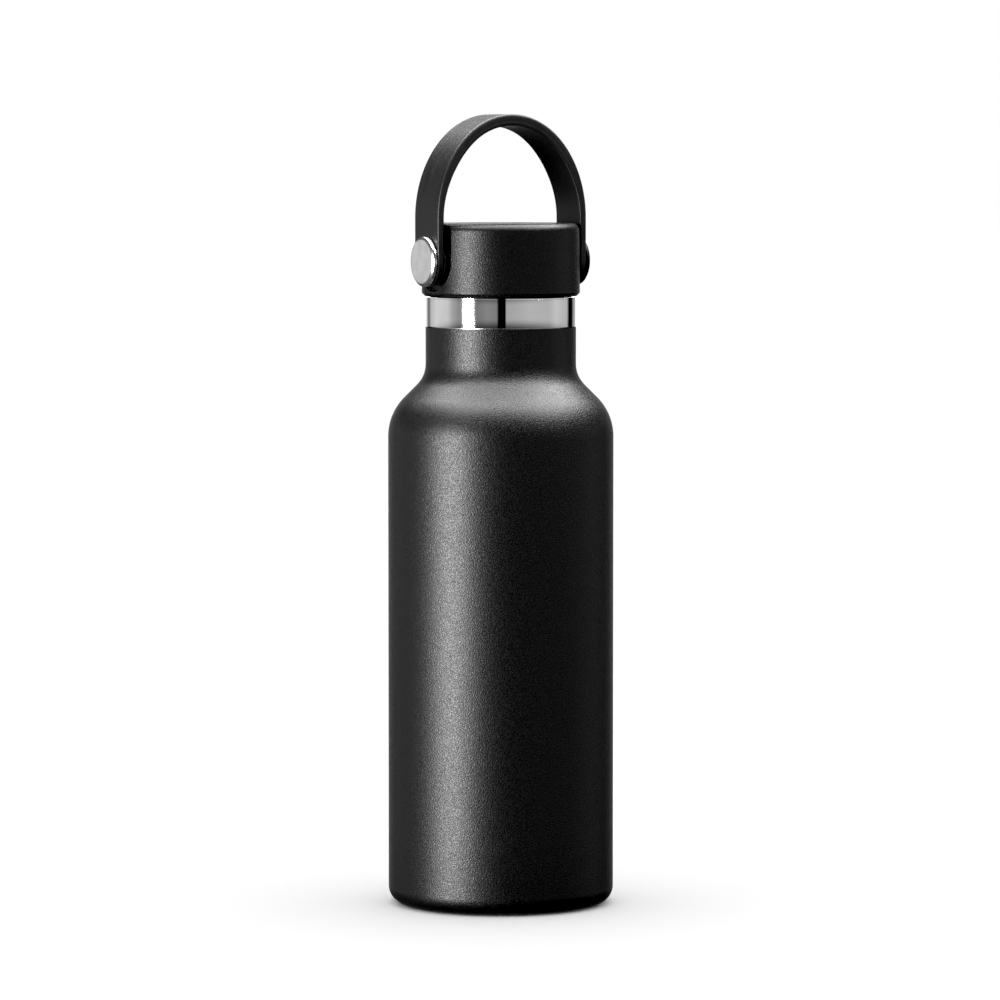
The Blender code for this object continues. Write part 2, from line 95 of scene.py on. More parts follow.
THREAD_LEAD = 5.0
THREAD_TURNS = 1.5
THREAD_TAPER = 0.2         # turns over which the ridge fades at each end
LINER_THREAD_Z = 181.5
LINER_THREAD_CREST = 21.25
LINER_THREAD_WIDTHS = (2.6, 1.0)            # at the root and at the crest
PLUG_R = 20.6
PLUG_WALL = 1.8
PLUG_THREAD_CREST = 21.95
PLUG_THREAD_WIDTHS = (3.0, 1.2)
FLANGE_Z = 200.4
COVER_GROOVE_INSET = 3.0    # from the foot disc's rim to its pressed ring
COVER_GROOVE_DEPTH = 0.12
COVER_GROOVE_HALF_W = 0.5
COVER_EDGE = 0.15
SEAL_IN_R = 21.0
SEAL_BEAD_RADII = (22.45, 21.75)
SEAL_BEAD_H = 0.12
SEAL_BEAD_HALF_W = 0.25

CAP_R = CAP_HIGH[1]
CAP_TOP_R = CAP_R - 0.2
CAP_EDGE_R = 2.6
CAP_CHAMFER = 1.1
CAP_SOCKET_R = 23.4
CAP_SOCKET_Z = 202.6
CAP_BORE_R = 21.4
CAP_CEILING_Z = 219.8
CAP_CEILING_R = 1.2
FLAT_X = 23.65
FLAT_CORNER_R = 9.7
FLAT_ROOT_R = 0.25         # fillet where the flat meets the cap's wall
FLAT_DRAFT = 0.25          # width over which the wall rises from the flat
LEDGE_X = 25.0             # the ledge under the strap's end is shaved to this
CROWDED_DEG = 24           # half of the angle about a flat where the mesh is close

PIN_Z = STRAP_LOW[2] + STRAP_HIGH[1]        # the strap's ends are round about the pin
STRAP_HALF_W = STRAP_HIGH[1]
STRAP_OUT_X = STRAP_HIGH[0]
STRAP_IN_X = 25.2
ARCH_Z = 14.0              # from the pin to the foot of the arch
ARCH_OUT_H = STRAP_HIGH[2] - PIN_Z - ARCH_Z
ARCH_IN_H = ARCH_OUT_H - 3.8
ARCH_IN_FLATNESS = 0.035   # how far the arch's inside is drawn in at its shoulders
STRAP_EDGE_R = 0.6
STRAP_EYE_R = 3.94
PIN_SHANK_R = 2.4
PIN_HEAD_IN_X = 27.8
PIN_FACE_R = 7.2
PIN_CORNER = 0.15
PIN_TIP_CHAMFER = 0.4
PIN_EDGE_R = 0.75
PIN_EDGE_DROP = 1.05       # from the face to the middle of the edge's curve
BUSH_FLANGE = 0.35
BORE_GAP = 0.3             # around the pin's shank
BUSH_R = 3.6

ROUND = 192                # steps around a large turned piece
SMALL_ROUND = 96
CAP_ROW = 0.12             # between two rings of the cap, where its flats are round
CLOSE_ROWS_Z = PIN_Z + 0.8  # the cap's rings are this close below here
LINER_ROW = 0.2            # between two rings of the liner's neck
PLUG_ROW = 0.16            # between two rings of the plug's wall
AXIS_R = 1e-6              # a point of an outline nearer to the axis than this is on it
SHARP_DEG = 40             # edges sharper than this aren't shaded smooth


# ---- outlines, as lists of (radius, height) ----

def arc(centre, radius, start_deg, end_deg, steps):
    """Points along a round arc, from one angle to another."""
    angles = np.radians(np.linspace(start_deg, end_deg, steps + 1))
    return [(centre[0] + radius * math.cos(a), centre[1] + radius * math.sin(a)) for a in angles]


def shoulder(wall_r, neck_r, convex_r, concave_r):
    """From the neck down to the straight side: concave arc, 45 degree cone, convex arc."""
    diagonal = math.sqrt(0.5)
    cone_foot_r = wall_r - convex_r * (1 - diagonal)
    cone_top_r = neck_r + concave_r * (1 - diagonal)
    neck_z = SIDE_TOP_Z + (convex_r + concave_r) * diagonal + cone_foot_r - cone_top_r
    return (arc((neck_r + concave_r, neck_z), concave_r, 180, 225, 12)
            + arc((wall_r - convex_r, SIDE_TOP_Z), convex_r, 45, 0, 14))


def rounded(corners, radius, steps=3):
    """A closed outline whose corners are rounded by up to `radius`."""
    points = []
    count = len(corners)
    for i, corner in enumerate(corners):
        here = np.array(corner, float)
        before = np.array(corners[i - 1], float) - here
        after = np.array(corners[(i + 1) % count], float) - here
        if here[0] < AXIS_R:
            points.append(tuple(here))
            continue
        reach = min(radius, 0.45 * np.linalg.norm(before), 0.45 * np.linalg.norm(after))
        start = here + before / np.linalg.norm(before) * reach
        end = here + after / np.linalg.norm(after) * reach
        for t in np.linspace(0, 1, steps + 1):
            points.append(tuple((1 - t) ** 2 * start + 2 * t * (1 - t) * here + t * t * end))
    return points


def offset_inward(outline, wall):
    """The same open outline, moved to the inner side of a thin wall."""
    points = np.array(outline, float)
    ahead = np.diff(points, axis=0)
    ahead /= np.linalg.norm(ahead, axis=1)[:, None]
    tangent = np.vstack([ahead[:1], ahead[:-1] + ahead[1:], ahead[-1:]])
    tangent /= np.linalg.norm(tangent, axis=1)[:, None]
    normal = np.stack([tangent[:, 1], -tangent[:, 0]], axis=1)
    return [tuple(p) for p in points + normal * wall]


def thin_wall(outline, wall, edge=0.12):
    """Closed section of a thin wall whose two ends are rounded."""
    inner = offset_inward(outline, wall)
    return (end_cap(inner[0], outline[0], edge) + outline[1:-1]
            + end_cap(outline[-1], inner[-1], edge) + inner[-2:0:-1])


def end_cap(start, end, edge):
    """Rounds the end of a wall a little, from one face to the other."""
    a, b = np.array(start, float), np.array(end, float)
    across = (b - a) / np.linalg.norm(b - a)
    edge = min(edge, np.linalg.norm(b - a) * 0.4)
    return [tuple(a), tuple(a + across * edge * 0.6), tuple(b - across * edge * 0.6), tuple(b)]


# ---- meshes ----

def skin(name, rows, closed):
    """Join rings of points into one surface. A row of one point closes the surface there."""
    points, starts = [], []
    for row in rows:
        starts.append(len(points))
        points.extend(map(tuple, np.atleast_2d(row) * MM))
    sizes = [len(np.atleast_2d(row)) for row in rows]
    faces = []
    pairs = list(zip(range(len(rows) - 1), range(1, len(rows))))
    if closed:
        pairs.append((len(rows) - 1, 0))
    for i, j in pairs:
        count = max(sizes[i], sizes[j])
        for k in range(count):
            m = (k + 1) % count
            upper = [starts[i] + k, starts[i] + m] if sizes[i] > 1 else [starts[i]]
            lower = [starts[j] + m, starts[j] + k] if sizes[j] > 1 else [starts[j]]
            faces.append(tuple(upper[::-1] + lower[::-1]))
    mesh = bpy.data.meshes.new(name)
    mesh.from_pydata(points, [], faces)
    mesh.validate()
    obj = bpy.data.objects.new(name, mesh)
    bpy.context.scene.collection.objects.link(obj)
    finish_mesh(obj)
    return obj


def finish_mesh(obj):
    """Smooth shading with crisp corners."""
    obj.data.shade_smooth()
    obj.data.set_sharp_from_angle(angle=math.radians(SHARP_DEG))


def circle(count):
    """Evenly spaced angles around a whole turn."""
    return np.linspace(0, 2 * math.pi, count, endpoint=False)


def ring(radius, height, angles):
    """One ring of points, or a single point on the axis. The radius may differ at each angle."""
    if np.max(radius) < AXIS_R:
        return np.array([[0, 0, height]])
    level = np.full_like(angles, height)
    return np.stack([radius * np.cos(angles), radius * np.sin(angles), level], axis=1)


def turned(name, outline, steps=ROUND, closed=True):
    """Turn an outline about Z. An outline that starts and ends on the axis isn't closed."""
    angles = circle(steps)
    return skin(name, [ring(r, z, angles) for r, z in outline], closed)


def along_x(obj, side):
    """Stand a piece turned about Z on the pins' axis, its upper end outward on that side."""
    points = np.array([v.co for v in obj.data.vertices])
    x = side * points[:, 2]
    z = -side * points[:, 0] + PIN_Z * MM
    moved = np.stack([x, points[:, 1], z], axis=1)
    obj.data.vertices.foreach_set("co", moved.astype(np.float32).ravel())
    obj.data.update()
    return obj


def thread_height(angles, z, low_z, height, widths):
    """Height of the helical ridge above its root at each angle, for one height z."""
    best = np.zeros_like(angles)
    for lap in range(-1, math.ceil(THREAD_TURNS) + 1):
        turns = angles / (2 * math.pi) + lap
        away = np.abs(z - (low_z + THREAD_LEAD * turns))
        flank = np.clip((widths[0] / 2 - away) / ((widths[0] - widths[1]) / 2), 0, 1)
        run = np.clip(np.minimum(turns, THREAD_TURNS - turns) / THREAD_TAPER, 0, 1)
        flank = flank * flank * (3 - 2 * flank)
        best = np.maximum(best, height * flank * run * run * (3 - 2 * run))
    return best


# ---- the flask ----

def make_shell():
    """Coated shell: neck, shoulder, straight side, foot and the ring it stands on."""
    outline = ([(NECK_R, SHELL_HIGH[2])]
               + shoulder(BODY_R, NECK_R, SHOULDER_R, NECK_ROOT_R)
               + [(BODY_R, z) for z in np.linspace(SIDE_TOP_Z - 20, BASE_CORNER_R + 20, 6)]
               + arc((BODY_R - BASE_CORNER_R, BASE_CORNER_R), BASE_CORNER_R, 0, -90, 12)
               + [(REST_RING_R, 0)])
    return turned("coated_shell", thin_wall(outline, OUTER_WALL))


def make_mouth_band():
    """Bare ring under the cap, with a fine weld line under the lip."""
    inner_r, outer_r = RING_HIGH[0] - RING_WALL, RING_HIGH[0]
    low, high = RING_LOW[2], LINER_HIGH[2] - LINER_WALL - LIP_GAP
    corners = [(inner_r, high), (outer_r, high), (outer_r, low), (inner_r, low)]
    return turned("mouth_band", rounded(corners, 0.04), steps=256)


def make_liner():
    """Liner with the rolled thread in its neck and the lip turned over the mouth band."""
    neck_r = LINER_NECK_R + LINER_WALL
    lip_z = LINER_HIGH[2] - LINER_WALL
    neck_root_r = NECK_ROOT_R + NECK_R - neck_r
    bend = arc((neck_r + LIP_BEND_R, lip_z - LIP_BEND_R), LIP_BEND_R, 90, 180, 6)
    curve = shoulder(BODY_R - VACUUM_INSET, neck_r, SHOULDER_R - VACUUM_INSET, neck_root_r)
    neck = [(neck_r, z) for z in np.arange(lip_z - LIP_BEND_R - 0.5, curve[0][1], -LINER_ROW)]
    outline = ([(LIP_R, lip_z)] + bend + neck + curve + [(LINER_HIGH[1], LINER_LOW[2])])
    outer = np.array(outline)
    inner = np.array(offset_inward(outline, LINER_WALL))
    angles = circle(ROUND)
    height = LINER_NECK_R - LINER_THREAD_CREST

    def rolled(r, z):
        ridge = thread_height(angles, z, LINER_THREAD_Z, height, LINER_THREAD_WIDTHS)
        return ring(r - ridge, z, angles)

    rows = [rolled(r, z) for r, z in outer] + [rolled(r, z) for r, z in inner[::-1]]
    return skin("steel_liner", rows, closed=True)


def make_liner_floor():
    """Dished bottom of the liner."""
    wall_r = FLOOR_HIGH[0]
    low, high = FLOOR_LOW[2], FLOOR_HIGH[2]
    outline = ([(wall_r, high)]
               + arc((wall_r - BASE_CORNER_R, low + BASE_CORNER_R), BASE_CORNER_R, 0, -90, 10)
               + [(0, low)])
    inner = offset_inward(outline, LINER_WALL)
    inner[-1] = (0, low + LINER_WALL)
    return turned("liner_floor", outline[::-1] + inner, steps=128, closed=False)


def make_foot_recess():
    """Recessed bottom pressed into the shell, with the hole that the seal closes."""
    edge_r, top = BOTTOM_HIGH[0], BOTTOM_HIGH[2]
    outline = ([(SEAL_HOLE_R, top)]
               + arc((edge_r - RECESS_CORNER_R, top - RECESS_CORNER_R), RECESS_CORNER_R, 90, 0, 8)
               + [(edge_r, BOTTOM_LOW[2])])
    return turned("foot_recess", thin_wall(outline, OUTER_WALL), steps=160)


def make_foot_disc():
    """Thin disc over the sealed hole, with one shallow pressed ring."""
    r, low, high = COVER_HIGH[0], COVER_LOW[2], COVER_HIGH[2]
    groove_r = r - COVER_GROOVE_INSET
    groove = [(groove_r + COVER_GROOVE_HALF_W, low), (groove_r, low + COVER_GROOVE_DEPTH),
              (groove_r - COVER_GROOVE_HALF_W, low)]
    rim = [(r - COVER_EDGE, high), (r, high - COVER_EDGE), (r, low + COVER_EDGE), (r - COVER_EDGE, low)]
    outline = [(0, high)] + rim + groove + [(0, low)]
    return turned("foot_disc", outline, steps=160, closed=False)


# ---- the seal ----

def make_seal_ring():
    """Gasket with a rounded edge and two fine sealing beads on its lower face."""
    outer_r = GASKET_HIGH[0]
    low, high = GASKET_LOW[2], GASKET_HIGH[2]
    face = low + SEAL_BEAD_H
    corners = [(SEAL_IN_R, high), (outer_r, high), (outer_r, face)]
    for bead_r in SEAL_BEAD_RADII:
        corners += [(bead_r + SEAL_BEAD_HALF_W, face), (bead_r, low), (bead_r - SEAL_BEAD_HALF_W, face)]
    corners.append((SEAL_IN_R, face))
    return turned("seal_ring", rounded(corners, 0.3), steps=160)


# ---- the cap ----

def smooth_min(a, b, reach):
    """The smaller of two values, with the change from one to the other rounded over `reach`."""
    blend = np.clip(reach - np.abs(a - b), 0, None)
    return np.minimum(a, b) - blend * blend / (4 * reach)


def pocket_limit(angles, z):
    """How far out the cap reaches at each angle where a flat, round at its foot, is cut in it."""
    cosine = np.maximum(np.abs(np.cos(angles)), 1e-3)
    y = FLAT_X * np.tan(np.arccos(np.clip(cosine, 0, 1)))
    rise = np.minimum(z - PIN_Z, 0)
    edge = np.hypot(y, rise) - FLAT_CORNER_R
    inside = np.clip(-edge, 0, FLAT_ROOT_R)
    fillet = (math.sqrt(FLAT_ROOT_R) - np.sqrt(inside)) ** 2
    wall = FLAT_X + fillet + np.clip(edge, 0, None) / FLAT_DRAFT * CAP_R
    return np.minimum(wall, LEDGE_X) / cosine


def cap_angles():
    """Angles around the cap, close together where the flats are cut."""
    half = math.radians(CROWDED_DEG)
    fine = np.linspace(-half, half, 170, endpoint=False)
    coarse = np.linspace(half, math.pi - half, 90, endpoint=False)
    return np.concatenate([fine, coarse, fine + math.pi, coarse + math.pi])


def make_cap_body():
    """Cap with its two flats, moulded edges and hollow inside."""
    angles = cap_angles()
    low, high = CAP_LOW[2], CAP_HIGH[2]
    flat_top = [(r, high) for r in (6, 12, 17, 20, 22)]
    edge = arc((CAP_TOP_R - CAP_EDGE_R, high - CAP_EDGE_R), CAP_EDGE_R, 90, 0, 14)
    wall_foot = low + CAP_CHAMFER
    heights = np.concatenate([np.linspace(high - CAP_EDGE_R, CLOSE_ROWS_Z, 14)[1:],
                              np.arange(CLOSE_ROWS_Z - CAP_ROW, wall_foot + 0.25, -CAP_ROW)])
    taper = (CAP_R - CAP_TOP_R) / (high - CAP_EDGE_R - wall_foot)
    wall = [(CAP_R - (z - wall_foot) * taper, z) for z in heights]
    foot = rounded([(CAP_R, wall_foot + 0.3), (CAP_R, wall_foot), (CAP_R - CAP_CHAMFER, low),
                    (CAP_SOCKET_R, low), (CAP_SOCKET_R, low + 0.5)], 0.2)[4:-4]
    rows = [ring(0, high, angles)]
    for r, z in flat_top + edge + wall + foot:
        reach = smooth_min(np.full_like(angles, r), pocket_limit(angles, z), 0.2)
        rows.append(ring(reach, z, angles))
    inside = [(CAP_SOCKET_R, CAP_SOCKET_Z), (CAP_BORE_R, CAP_SOCKET_Z)]
    inside += arc((CAP_BORE_R - CAP_CEILING_R, CAP_CEILING_Z - CAP_CEILING_R), CAP_CEILING_R, 0, 90, 4)
    inside.append((0, CAP_CEILING_Z))
    rows += [ring(r, z, angles) for r, z in inside]
    return skin("cap_body", rows, closed=False)


def make_stopper():
    """Threaded plug with its flange."""
    inner_r = PLUG_R - PLUG_WALL
    low, high = PLUG_LOW[2], PLUG_HIGH[2]
    flange_r = PLUG_HIGH[0]
    top = rounded([(inner_r, high), (flange_r, high), (flange_r, FLANGE_Z), (PLUG_R, FLANGE_Z),
                   (PLUG_R, FLANGE_Z - 6)], 0.25)[:-4]
    wall = [(PLUG_R, z) for z in np.arange(FLANGE_Z - 3, low + PLUG_WALL, -PLUG_ROW)]
    bottom = arc((PLUG_R - PLUG_WALL, low + PLUG_WALL), PLUG_WALL, 0, -90, 8)
    inside = [(0, low + PLUG_WALL), (inner_r, low + PLUG_WALL)]
    angles = circle(ROUND)
    height = PLUG_THREAD_CREST - PLUG_R
    rows = []
    for r, z in top + wall + bottom + [(0, low)] + inside:
        ridge = thread_height(angles, z, LINER_THREAD_Z - THREAD_LEAD / 2, height, PLUG_THREAD_WIDTHS)
        on_wall = r > PLUG_R - 0.5 and z < FLANGE_Z - 1
        rows.append(ring(r + ridge * on_wall, z, angles))
    return skin("cap_stopper", rows, closed=True)


# ---- pins, washers and bushes ----

def make_pin(word, side):
    """Pin with a wide flat head whose edge is turned in two soft steps."""
    face_x, tip_x = PIN_HIGH[0], PIN_LOW[0]
    head_r = PIN_HIGH[1]
    edge = [(PIN_FACE_R - 0.12, face_x), (PIN_FACE_R + 0.10, face_x - 0.06)]
    edge += arc((head_r - PIN_EDGE_R, face_x - PIN_EDGE_DROP), PIN_EDGE_R, 70, 0, 8)
    outline = ([(0, face_x)] + [(r, face_x) for r in (2, 4, 6)] + edge
               + [(head_r, PIN_HEAD_IN_X + PIN_CORNER), (head_r - PIN_CORNER, PIN_HEAD_IN_X),
                  (PIN_SHANK_R, PIN_HEAD_IN_X), (PIN_SHANK_R, tip_x + PIN_TIP_CHAMFER),
                  (PIN_SHANK_R - PIN_TIP_CHAMFER, tip_x), (0, tip_x)])
    return along_x(turned("rivet_pin_" + word, outline, SMALL_ROUND * 2, closed=False), side)


def make_washer(word, side):
    """Thin ring between the cap's flat and the strap."""
    inner_r, outer_r = PIN_SHANK_R + BORE_GAP, WASHER_HIGH[1]
    corners = [(inner_r, WASHER_HIGH[0]), (outer_r, WASHER_HIGH[0]), (outer_r, WASHER_LOW[0]),
               (inner_r, WASHER_LOW[0])]
    return along_x(turned("thrust_washer_" + word, rounded(corners, 0.1), SMALL_ROUND), side)


def make_bush(word, side):
    """Sleeve in the strap's eye, with a flange on the cap's side."""
    inner_r = PIN_SHANK_R + BORE_GAP
    flange_r, low, high = BUSH_HIGH[1], BUSH_LOW[0], BUSH_HIGH[0]
    flange_x = low + BUSH_FLANGE
    corners = [(inner_r, high), (BUSH_R, high), (BUSH_R, flange_x), (flange_r, flange_x),
               (flange_r, low), (inner_r, low)]
    return along_x(turned("eye_bush_" + word, rounded(corners, 0.1), SMALL_ROUND), side)


# ---- the strap ----

def strap_spine():
    """Middle and half-thickness of the strap in XZ, from the left pin over the crown to the right."""
    legs = np.linspace(0, ARCH_Z, 6)[:-1]
    angles = np.linspace(math.pi, 0, 121)
    outer = np.stack([STRAP_OUT_X * np.cos(angles), ARCH_Z + ARCH_OUT_H * np.sin(angles)], axis=1)
    drawn_in = 1 - ARCH_IN_FLATNESS * np.sin(2 * angles) ** 2
    inner = np.stack([STRAP_IN_X * drawn_in * np.cos(angles), ARCH_Z + ARCH_IN_H * np.sin(angles)], axis=1)
    left_out = np.stack([np.full_like(legs, -STRAP_OUT_X), legs], axis=1)
    left_in = np.stack([np.full_like(legs, -STRAP_IN_X), legs], axis=1)
    mirror = np.array([-1, 1])
    outer = np.vstack([left_out, outer, left_out[::-1] * mirror])
    inner = np.vstack([left_in, inner, left_in[::-1] * mirror])
    return (outer + inner) / 2, (outer - inner) / 2


def strap_row(middle, half, inset, level):
    """One closed loop around the strap, `inset` from its outline, at a level from -1 to 1."""
    reach = STRAP_HALF_W - inset
    turn = np.linspace(0, math.pi, 33)[1:-1]
    surface = middle + half * level
    front = np.stack([surface[:, 0], np.full(len(surface), -reach), surface[:, 1]], axis=1)
    back = front[::-1] * np.array([1, -1, 1])
    right_x, left_x = surface[-1, 0], surface[0, 0]
    right_end = np.stack([np.full_like(turn, right_x), -reach * np.cos(turn), -reach * np.sin(turn)], axis=1)
    left_end = np.stack([np.full_like(turn, left_x), reach * np.cos(turn), -reach * np.sin(turn)], axis=1)
    loop = np.vstack([front, right_end, back, left_end])
    loop[:, 2] += PIN_Z
    return loop


def make_strap():
    """Strap with rounded edges, and the fine parting line of its mould around the edge."""
    middle, half = strap_spine()
    least_half = (STRAP_OUT_X - STRAP_IN_X) / 2
    r = STRAP_EDGE_R
    face = [(inset, 1.0) for inset in (STRAP_HALF_W, 6.0, 4.0, 2.0, 1.0)]
    face += [(r * (1 - math.sin(a)), 1 - r * (1 - math.cos(a)) / least_half)
             for a in np.linspace(0, math.pi / 2, 6)]
    line = [(0.0, -0.05), (0.02, -0.12), (0.05, -0.20), (0.02, -0.28), (0.0, -0.35)]
    profile = face + line + [(inset, -level) for inset, level in face[::-1]]
    rows = [strap_row(middle, half, inset, level) for inset, level in profile]
    strap = skin("carry_strap", rows, closed=False)
    merge_doubles(strap)
    cut_eye(strap)
    return strap


def merge_doubles(obj):
    """Join points that lie on each other, and drop the faces that this flattens."""
    shape = bmesh.new()
    shape.from_mesh(obj.data)
    bmesh.ops.remove_doubles(shape, verts=shape.verts, dist=1e-7)
    bmesh.ops.dissolve_degenerate(shape, edges=shape.edges, dist=1e-8)
    bmesh.ops.recalc_face_normals(shape, faces=shape.faces)
    shape.to_mesh(obj.data)
    shape.free()


def cut_eye(strap):
    """Cut the round eye in each end of the strap."""
    reach = STRAP_OUT_X + 2
    drill = turned("eye_drill", [(0, reach), (STRAP_EYE_R, reach), (STRAP_EYE_R, -reach), (0, -reach)],
                   64, closed=False)
    along_x(drill, 1)
    cut = strap.modifiers.new("eye", "BOOLEAN")
    cut.operation = "DIFFERENCE"
    cut.object = drill
    graph = bpy.context.evaluated_depsgraph_get()
    mesh = bpy.data.meshes.new_from_object(strap.evaluated_get(graph))
    strap.modifiers.clear()
    strap.data = mesh
    bpy.data.objects.remove(drill, do_unlink=True)
    finish_mesh(strap)


# ---- materials ----

class Tree:
    """Short way to add nodes to a tree and join them."""

    def __init__(self, tree):
        self.tree = tree

    def add(self, kind, **settings):
        node = self.tree.nodes.new(kind)
        for key, value in settings.items():
            setattr(node, key, value)
        return node

    def link(self, output, target):
        self.tree.links.new(output, target)

    def feed(self, value, target):
        """Give a socket a plain value, or link it to the node that works its value out."""
        if isinstance(value, bpy.types.NodeSocket):
            self.link(value, target)
        else:
            target.default_value = value


class Nodes(Tree):
    """Short way to build a node material."""

    def __init__(self, name):
        self.material = bpy.data.materials.new(name)
        self.material.use_nodes = True
        super().__init__(self.material.node_tree)
        self.shader = self.tree.nodes["Principled BSDF"]
        self.place = self.add("ShaderNodeTexCoord").outputs["Object"]

    def noise(self, scale, detail=2.0, rough=0.5, place=None):
        node = self.add("ShaderNodeTexNoise")
        node.inputs["Scale"].default_value = scale
        node.inputs["Detail"].default_value = detail
        node.inputs["Roughness"].default_value = rough
        self.link(place or self.place, node.inputs["Vector"])
        return node.outputs["Fac"]

    def stretch(self, x, y, z):
        node = self.add("ShaderNodeMapping")
        node.inputs["Scale"].default_value = (x, y, z)
        self.link(self.place, node.inputs["Vector"])
        return node.outputs["Vector"]

    def spread(self, value, low, high, from_low=0.3, from_high=0.7):
        node = self.add("ShaderNodeMapRange")
        node.inputs["From Min"].default_value = from_low
        node.inputs["From Max"].default_value = from_high
        node.inputs["To Min"].default_value = low
        node.inputs["To Max"].default_value = high
        self.link(value, node.inputs["Value"])
        return node.outputs["Result"]

    def mix_colours(self, value, first, second):
        node = self.add("ShaderNodeMix", data_type="RGBA")
        node.inputs["A"].default_value = (*first, 1)
        node.inputs["B"].default_value = (*second, 1)
        self.link(value, node.inputs["Factor"])
        return node.outputs["Result"]

    def bump(self, height, strength, distance_mm, normal=None):
        node = self.add("ShaderNodeBump")
        node.inputs["Strength"].default_value = strength
        node.inputs["Distance"].default_value = distance_mm * MM
        self.link(height, node.inputs["Height"])
        if normal:
            self.link(normal, node.inputs["Normal"])
        return node.outputs["Normal"]

    def set(self, **values):
        for key, value in values.items():
            self.feed(value, self.shader.inputs[key.replace("_", " ")])


def powder_coat():
    """Matte black powder coat: a fine pebbled skin that sparkles a little where it catches light."""
    n = Nodes("powder_coat")
    grain = n.noise(2800, 1.0, 0.5)
    pebbles = n.noise(3100, 0.0, 0.5, n.stretch(-1, 1, 1))
    colour = n.mix_colours(n.spread(grain, 0, 1), (0.0046, 0.0046, 0.0048), (0.0066, 0.0066, 0.0069))
    n.set(Base_Color=colour, Roughness=n.spread(pebbles, 0.28, 0.50), Metallic=0.0,
          Specular_IOR_Level=0.3, Normal=n.bump(grain, 1.0, 0.1))
    return n.material


def moulded_plastic(name, dark, light, grain_scale, roughness, relief):
    """Black plastic with a spark-eroded grain from its mould."""
    n = Nodes(name)
    grain = n.noise(grain_scale, 2.0, 0.6)
    speckle = n.noise(2700, 0.0, 0.5, n.stretch(-1, 1, 1))
    n.set(Base_Color=n.mix_colours(n.spread(grain, 0, 1), dark, light),
          Roughness=n.spread(speckle, *roughness), Metallic=0.0,
          Specular_IOR_Level=0.2, Normal=n.bump(grain, 1.0, relief))
    return n.material


def strap_rubber():
    """Satin rubber with a soft skin and faint flow marks along the strap."""
    n = Nodes("strap_rubber")
    skin_grain = n.noise(3500, 2.0, 0.5)
    flow = n.noise(220, 3.0, 0.6, n.stretch(1.0, 3.0, 0.5))
    n.set(Base_Color=n.mix_colours(n.spread(flow, 0, 1), (0.0100, 0.0100, 0.0103), (0.0135, 0.0135, 0.0139)),
          Roughness=n.spread(flow, 0.41, 0.46), Metallic=0.0, Specular_IOR_Level=0.28,
          Normal=n.bump(skin_grain, 1.0, 0.03))
    return n.material


def steel(name, roughness, tone, stretch, scale, relief_mm):
    """Stainless steel with fine marks running one way."""
    n = Nodes(name)
    marks = n.noise(scale, 3.0, 0.6, n.stretch(*stretch))
    cloud = n.noise(220, 2.0, 0.5)
    dark, light = [(value, value, value) for value in tone]
    n.set(Base_Color=n.mix_colours(n.spread(cloud, 0, 1), dark, light), Metallic=1.0,
          Roughness=n.spread(marks, *roughness), Normal=n.bump(marks, 1.0, relief_mm))
    return n.material


def blackened_steel():
    """Steel with a thin black finish that shows the turning marks under it."""
    n = Nodes("black_steel")
    marks = n.noise(700, 3.0, 0.6)
    n.set(Base_Color=n.mix_colours(n.spread(marks, 0, 1), (0.002, 0.002, 0.002), (0.004, 0.004, 0.004)),
          Metallic=0.0, Specular_IOR_Level=0.15, Roughness=n.spread(marks, 0.45, 0.55),
          Normal=n.bump(marks, 0.06, 0.01))
    return n.material


def silicone():
    """Pale translucent silicone with a soft sheen."""
    n = Nodes("silicone")
    cloud = n.noise(150, 2.0, 0.5)
    n.set(Base_Color=n.mix_colours(n.spread(cloud, 0, 1), (0.46, 0.47, 0.48), (0.54, 0.55, 0.56)),
          Roughness=n.spread(cloud, 0.40, 0.50), Subsurface_Weight=0.2,
          Normal=n.bump(n.noise(2500, 1.0), 0.08, 0.02))
    n.shader.inputs["Subsurface Radius"].default_value = (0.001, 0.001, 0.001)
    return n.material


def foam():
    """Cream foam with small cells."""
    n = Nodes("foam")
    cells = n.add("ShaderNodeTexVoronoi")
    cells.inputs["Scale"].default_value = 1500
    n.link(n.place, cells.inputs["Vector"])
    n.set(Base_Color=n.mix_colours(cells.outputs["Distance"], (0.62, 0.60, 0.55), (0.78, 0.77, 0.73)),
          Roughness=0.9, Normal=n.bump(cells.outputs["Distance"], 0.5, 0.2))
    return n.material


def brass():
    """Brass with turning marks."""
    n = Nodes("brass")
    marks = n.noise(900, 3.0, 0.6, n.stretch(0.2, 1, 1))
    n.set(Base_Color=n.mix_colours(n.spread(marks, 0, 1), (0.52, 0.36, 0.13), (0.66, 0.47, 0.19)),
          Metallic=1.0, Roughness=n.spread(marks, 0.25, 0.4))
    return n.material


def paint(obj, material, chosen):
    """Give a second material to the faces that pass a test."""
    obj.data.materials.append(material)
    for face in obj.data.polygons:
        if chosen(face):
            face.material_index = len(obj.data.materials) - 1


def give(obj, material):
    obj.data.materials.clear()
    obj.data.materials.append(material)


# ---- assembly ----

KEPT_NODES = {"vacuum_seal": "bare_steel", "getter": "bare_steel", "insulation_puck": "foam",
              "insert_left": "brass", "insert_right": "brass"}
PIN_SLOTS = {"left": "satin_steel", "right": "black_steel"}


